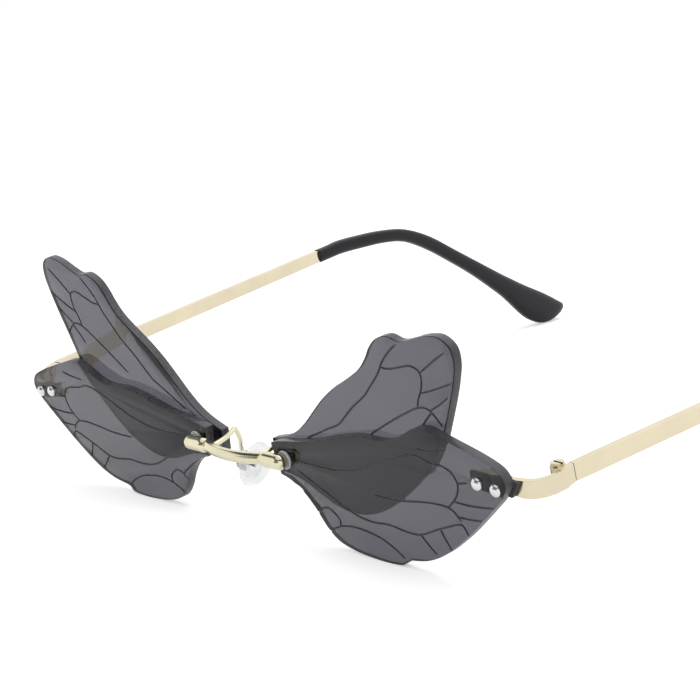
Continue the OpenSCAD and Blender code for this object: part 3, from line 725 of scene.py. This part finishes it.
class SG_OT_metalwork(PieceOperator, bpy.types.Operator):
    """Round and plate the bridge, the pad arms, the end pieces, the temples and their screws"""
    bl_idname = "sunglasses.metalwork"
    bl_label = "Metalwork"

    def execute(self, context):
        settings = context.scene.sg_metal
        self.softened_bridge()
        for side in SIDES:
            self.pad_arm(side, settings.small_edge_round)
            dressed("end_piece_" + side, "pale_gold", settings.edge_round)
            dressed("temple_" + side, "pale_gold", settings.edge_round)
            dressed("nose_pad_screw_" + side, "bright_steel", settings.small_edge_round)
            self.slotted_screw("hinge_screw_" + side, settings.edge_round)
        return {"FINISHED"}

    def pad_arm(self, side, width):
        """A gilt wire that ends in the bright box round the pad's screw."""
        screw = merged_copy("nose_pad_screw_" + side)
        box = middle(screw.verts)
        screw.free()
        node = "nose_pad_arm_" + side
        mesh = merged_copy(node)
        for face in mesh.faces:
            if all((v.co - box).length < PAD_BOX_REACH for v in face.verts):
                face.material_index = 1
        rounded(put(mesh, node + "_finish", ["bridge_gold", "bright_steel"], node), width)

    def softened_bridge(self):
        """The bridge as one polished casting: every edge of the CAD solid flows into the next."""
        holder = placed("bridge_blank", mesh_data("bridge_blank", merged_copy("bridge")))
        skin = holder.modifiers.new("Skin", "REMESH")
        skin.mode = "VOXEL"
        skin.voxel_size = SKIN_CELL
        polish = holder.modifiers.new("Polish", "SMOOTH")
        polish.factor = FLOW
        polish.iterations = FLOW_PASSES
        put(evaluated(holder), "bridge_finish", ["bridge_gold"], "bridge")

    def slotted_screw(self, node, width):
        """A hinge screw whose driver slot and the rounded rim of its head get painted shade, darker than its
        plated head.
        """
        mesh = merged_copy(node)
        up = wing_front("left")[0].cross(Vector((1.0, 0.0, 0.0)))
        top = max(v.co.dot(up) for v in mesh.verts)
        for face in mesh.faces:
            low = min(v.co.dot(up) for v in face.verts)
            if top - SLOT_FLOOR < low < top - SLOT_TOP:
                face.material_index = 1
        piece = put(mesh, node + "_finish", ["pale_gold", "slot_shadow"], node)
        # The rounded rim of the head gets the same painted shade as the slot.
        rounded(piece, width, 2).material = 1


class SG_OT_rivets(PieceOperator, bpy.types.Operator):
    """Turn the domed rivets that hold the end pieces behind the lower wings"""
    bl_idname = "sunglasses.rivets"
    bl_label = "Rivets"

    def execute(self, context):
        tree = rivet_tree()
        for side in SIDES:
            self.pair(side, tree, context.scene.sg_rivets)
        return {"FINISHED"}

    def pair(self, side, tree, settings):
        """The two rivets of one side, on the front of the lower wing."""
        out, front = wing_front(side)
        node = "lens_rivets_" + side
        solids = merged_copy(node)
        places = []
        depth = []
        for island in islands(solids):
            centre = middle(island)
            places.append(tuple(centre + out * (front - centre.dot(out))))
            depth.append(front - min(v.co.dot(out) for v in island))
        solids.free()
        if len(places) != 2:
            raise RuntimeError("a lower wing has two rivets")
        points = bpy.data.meshes.new("rivet_places")
        points.from_pydata(places, [], [])
        holder = placed("rivet_places", points)
        modifier = holder.modifiers.new("Rivets", "NODES")
        modifier.node_group = tree
        values = {
            "Head Width": settings.head_width, "Head Height": settings.head_height,
            "Shank Width": settings.shank_width, "Shank Length": min(depth) - settings.tail_height,
            "Tail Width": settings.tail_width, "Tail Height": settings.tail_height,
            "Axis": tuple(out), "Finish": finish("bright_steel"),
        }
        for item in tree.interface.items_tree:
            if item.name in values:
                modifier[item.identifier] = values[item.name]
        turned = evaluated(holder)
        bmesh.ops.remove_doubles(turned, verts=turned.verts, dist=SPECK)
        bmesh.ops.recalc_face_normals(turned, faces=turned.faces)
        put(turned, "rivets_" + side, ["bright_steel"], node)


class SG_OT_clear_parts(PieceOperator, bpy.types.Operator):
    """Mould the clear washers, the pad cores and the soft nose pads"""
    bl_idname = "sunglasses.clear_parts"
    bl_label = "Washers and nose pads"

    def execute(self, context):
        settings = context.scene.sg_soft
        for side in SIDES:
            self.washer("bridge_washer_" + side, settings.washer_round)
            dressed("nose_pad_core_" + side, "clear_core", settings.core_round)
            dressed("nose_pad_" + side, "milky_silicone", settings.pad_round, 5)
        return {"FINISHED"}

    def washer(self, node, width):
        """A see-through washer whose rounded rims are painted pale grey as a highlight ring."""
        piece = put(merged_copy(node), node + "_finish", ["clear_nylon", "washer_rim_highlight"], node)
        # The rounded rims get the painted highlight of a pale ring.
        rounded(piece, width, angle=60).material = 1


class SG_OT_black_parts(PieceOperator, bpy.types.Operator):
    """Polish the temple sleeves and grain the bridge nuts and the pads behind the wings"""
    bl_idname = "sunglasses.black_parts"
    bl_label = "Sleeves, nuts and backing pads"

    def execute(self, context):
        settings = context.scene.sg_soft
        for side in SIDES:
            dressed("temple_tip_" + side, "black_sleeve", settings.sleeve_round)
            dressed("mount_pad_" + side, "black_nylon", settings.backing_round, 2)
            dressed("bridge_nut_" + side, "black_nylon", settings.nut_round, 4)
        return {"FINISHED"}


class SG_OT_stage(PieceOperator, bpy.types.Operator):
    """Set up the pale floor, the soft studio light and the camera"""
    bl_idname = "sunglasses.stage"
    bl_label = "Stage"

    def execute(self, context):
        settings = context.scene.sg_stage
        self.floor(settings)
        self.world(context.scene, settings)
        self.lamps(settings)
        self.camera(context.scene, settings)
        context.scene.view_settings.view_transform = "Standard"
        return {"FINISHED"}

    def floor(self, settings):
        """A pale floor with its shadows, lifted towards white where eye, metal and wings see it."""
        mesh = bmesh.new()
        bmesh.ops.create_grid(mesh, x_segments=8, y_segments=8, size=3.0)
        floor = placed("floor", mesh_data("floor", mesh))
        s = Shader("pale_floor")
        paper = s.add("BsdfDiffuse")
        grain = s.tones(s.noise(220.0), (0.835, 0.835, 0.835, 1.0), (0.850, 0.850, 0.850, 1.0))
        s.link(grain, paper.inputs["Color"])
        glow = s.add("Emission")
        glow.inputs["Color"].default_value = WHITE
        ray = s.add("LightPath").outputs
        seen = calc(s.tree, "MULTIPLY", ray["Is Camera Ray"], settings.floor_glow)
        bounced = calc(s.tree, "MAXIMUM", ray["Is Glossy Ray"], ray["Is Transmission Ray"])
        level = calc(s.tree, "MULTIPLY_ADD", bounced, settings.floor_shine, seen)
        s.link(level, glow.inputs["Strength"])
        both = s.add("AddShader")
        s.link(paper.outputs[0], both.inputs[0])
        s.link(glow.outputs[0], both.inputs[1])
        s.link(both.outputs[0], s.output.inputs["Surface"])
        floor.data.materials.append(s.material)

    def world(self, scene, settings):
        """An even white room, in which metal sees a dark gap, a dark front and a brighter box overhead."""
        world = bpy.data.worlds.new("studio")
        world.use_nodes = True
        tree = world.node_tree
        tree.nodes.clear()
        link = tree.links.new

        def add(kind):
            return tree.nodes.new("ShaderNode" + kind)

        def light(strength):
            node = add("Background")
            node.inputs["Color"].default_value = WHITE
            node.inputs["Strength"].default_value = strength
            return node

        def chosen(factor, first, second):
            node = add("MixShader")
            link(factor, node.inputs["Fac"])
            link(first.outputs[0], node.inputs[1])
            link(second.outputs[0], node.inputs[2])
            return node

        # Where a ray goes: depth is 1 straight behind the object and -1 in front, height is 1 overhead
        parts = add("SeparateXYZ")
        link(add("TexCoord").outputs["Generated"], parts.inputs[0])
        depth, height = parts.outputs["Y"], parts.outputs["Z"]
        gap_foot = fade(tree, height, 0.50, 0.56, 0.0, 1.0)
        gap_top = fade(tree, height, 0.70, 0.84, 1.0, 0.15)
        gap_end = fade(tree, depth, -0.05, 0.2, 1.0, 0.0)
        gap = calc(tree, "MULTIPLY", calc(tree, "MULTIPLY", gap_foot, gap_top), gap_end)
        room_foot = fade(tree, height, 0.04, 0.12, 0.0, 0.85)
        room_end = fade(tree, depth, -0.84, -0.72, 1.0, 0.0)
        dark = calc(tree, "MAXIMUM", gap, calc(tree, "MULTIPLY", room_foot, room_end))
        plain = fade(tree, dark, 0.0, 1.0, 1.0, 0.06)
        box_foot = fade(tree, height, 0.60, 0.74, 0.0, 0.35)
        box_end = fade(tree, depth, 0.0, 0.3, 0.0, 1.0)
        mirrored = light(1.0)
        link(calc(tree, "ADD", plain, calc(tree, "MULTIPLY", box_foot, box_end)), mirrored.inputs["Strength"])
        ray = add("LightPath").outputs
        clear = calc(tree, "MAXIMUM", ray["Is Camera Ray"], ray["Is Transmission Ray"])
        room = chosen(clear, light(settings.room_light), light(1.0))
        link(chosen(ray["Is Glossy Ray"], room, mirrored).outputs[0], add("OutputWorld").inputs["Surface"])
        scene.world = world

    def lamps(self, settings):
        """A broad overhead light and a small one from the front, each with the angle it spans."""
        for name, place, angle, power in (
            ("overhead", (0.05, 0.12, 1.0), 42.0, settings.overhead_power),
            ("key", (-0.45, -0.55, 0.85), 14.0, settings.key_power),
        ):
            lamp = bpy.data.lights.new(name, "SUN")
            lamp.angle = math.radians(angle)
            lamp.energy = power
            holder = placed(name, lamp)
            holder.location = place
            holder.rotation_euler = Vector(place).to_track_quat("Z", "Y").to_euler()
            holder.visible_glossy = False

    def camera(self, scene, settings):
        """A camera turned by azimuth and elevation and then rolled about its line of sight."""
        a, e, r = settings.azimuth, settings.elevation, settings.roll
        right = Vector((math.cos(a), math.sin(a), 0.0))
        back = Vector((math.sin(a) * math.cos(e), -math.cos(a) * math.cos(e), math.sin(e)))
        up = back.cross(right)
        across = right * math.cos(r) + up * math.sin(r)
        upward = up * math.cos(r) - right * math.sin(r)
        turn = Matrix((across, upward, back)).transposed().to_4x4()
        camera = placed("camera", bpy.data.cameras.new("camera"))
        camera.matrix_world = Matrix.Translation(Vector(settings.camera_place)) @ turn
        camera.data.sensor_width = 36.0
        camera.data.lens = settings.lens
        camera.data.clip_start = 0.01
        scene.camera = camera


class SG_PT_panel(bpy.types.Panel):
    """Steps and sizes of the sunglasses."""
    bl_label = "Sunglasses"
    bl_idname = "SG_PT_panel"
    bl_space_type = "VIEW_3D"
    bl_region_type = "UI"
    bl_category = "Sunglasses"

    def draw(self, context):
        for operator in STEPS:
            self.layout.operator(operator.bl_idname)
        for key, group in SETTINGS:
            box = self.layout.box()
            box.label(text=group.__doc__)
            for name in group.__annotations__:
                box.prop(getattr(context.scene, key), name)


STEPS = (
    SG_OT_wings, SG_OT_metalwork, SG_OT_rivets, SG_OT_clear_parts, SG_OT_black_parts, SG_OT_stage,
)


def register():
    for key, group in SETTINGS:
        bpy.utils.register_class(group)
        setattr(bpy.types.Scene, key, PointerProperty(type=group))
    for item in STEPS + (SG_PT_panel,):
        bpy.utils.register_class(item)


def unregister():
    for item in reversed(STEPS + (SG_PT_panel,)):
        bpy.utils.unregister_class(item)
    for key, group in reversed(SETTINGS):
        delattr(bpy.types.Scene, key)
        bpy.utils.unregister_class(group)


def main():
    register()
    bpy.ops.sunglasses.wings()
    bpy.ops.sunglasses.metalwork()
    bpy.ops.sunglasses.rivets()
    bpy.ops.sunglasses.clear_parts()
    bpy.ops.sunglasses.black_parts()
    bpy.ops.sunglasses.stage()


if __name__ == "__main__":
    main()
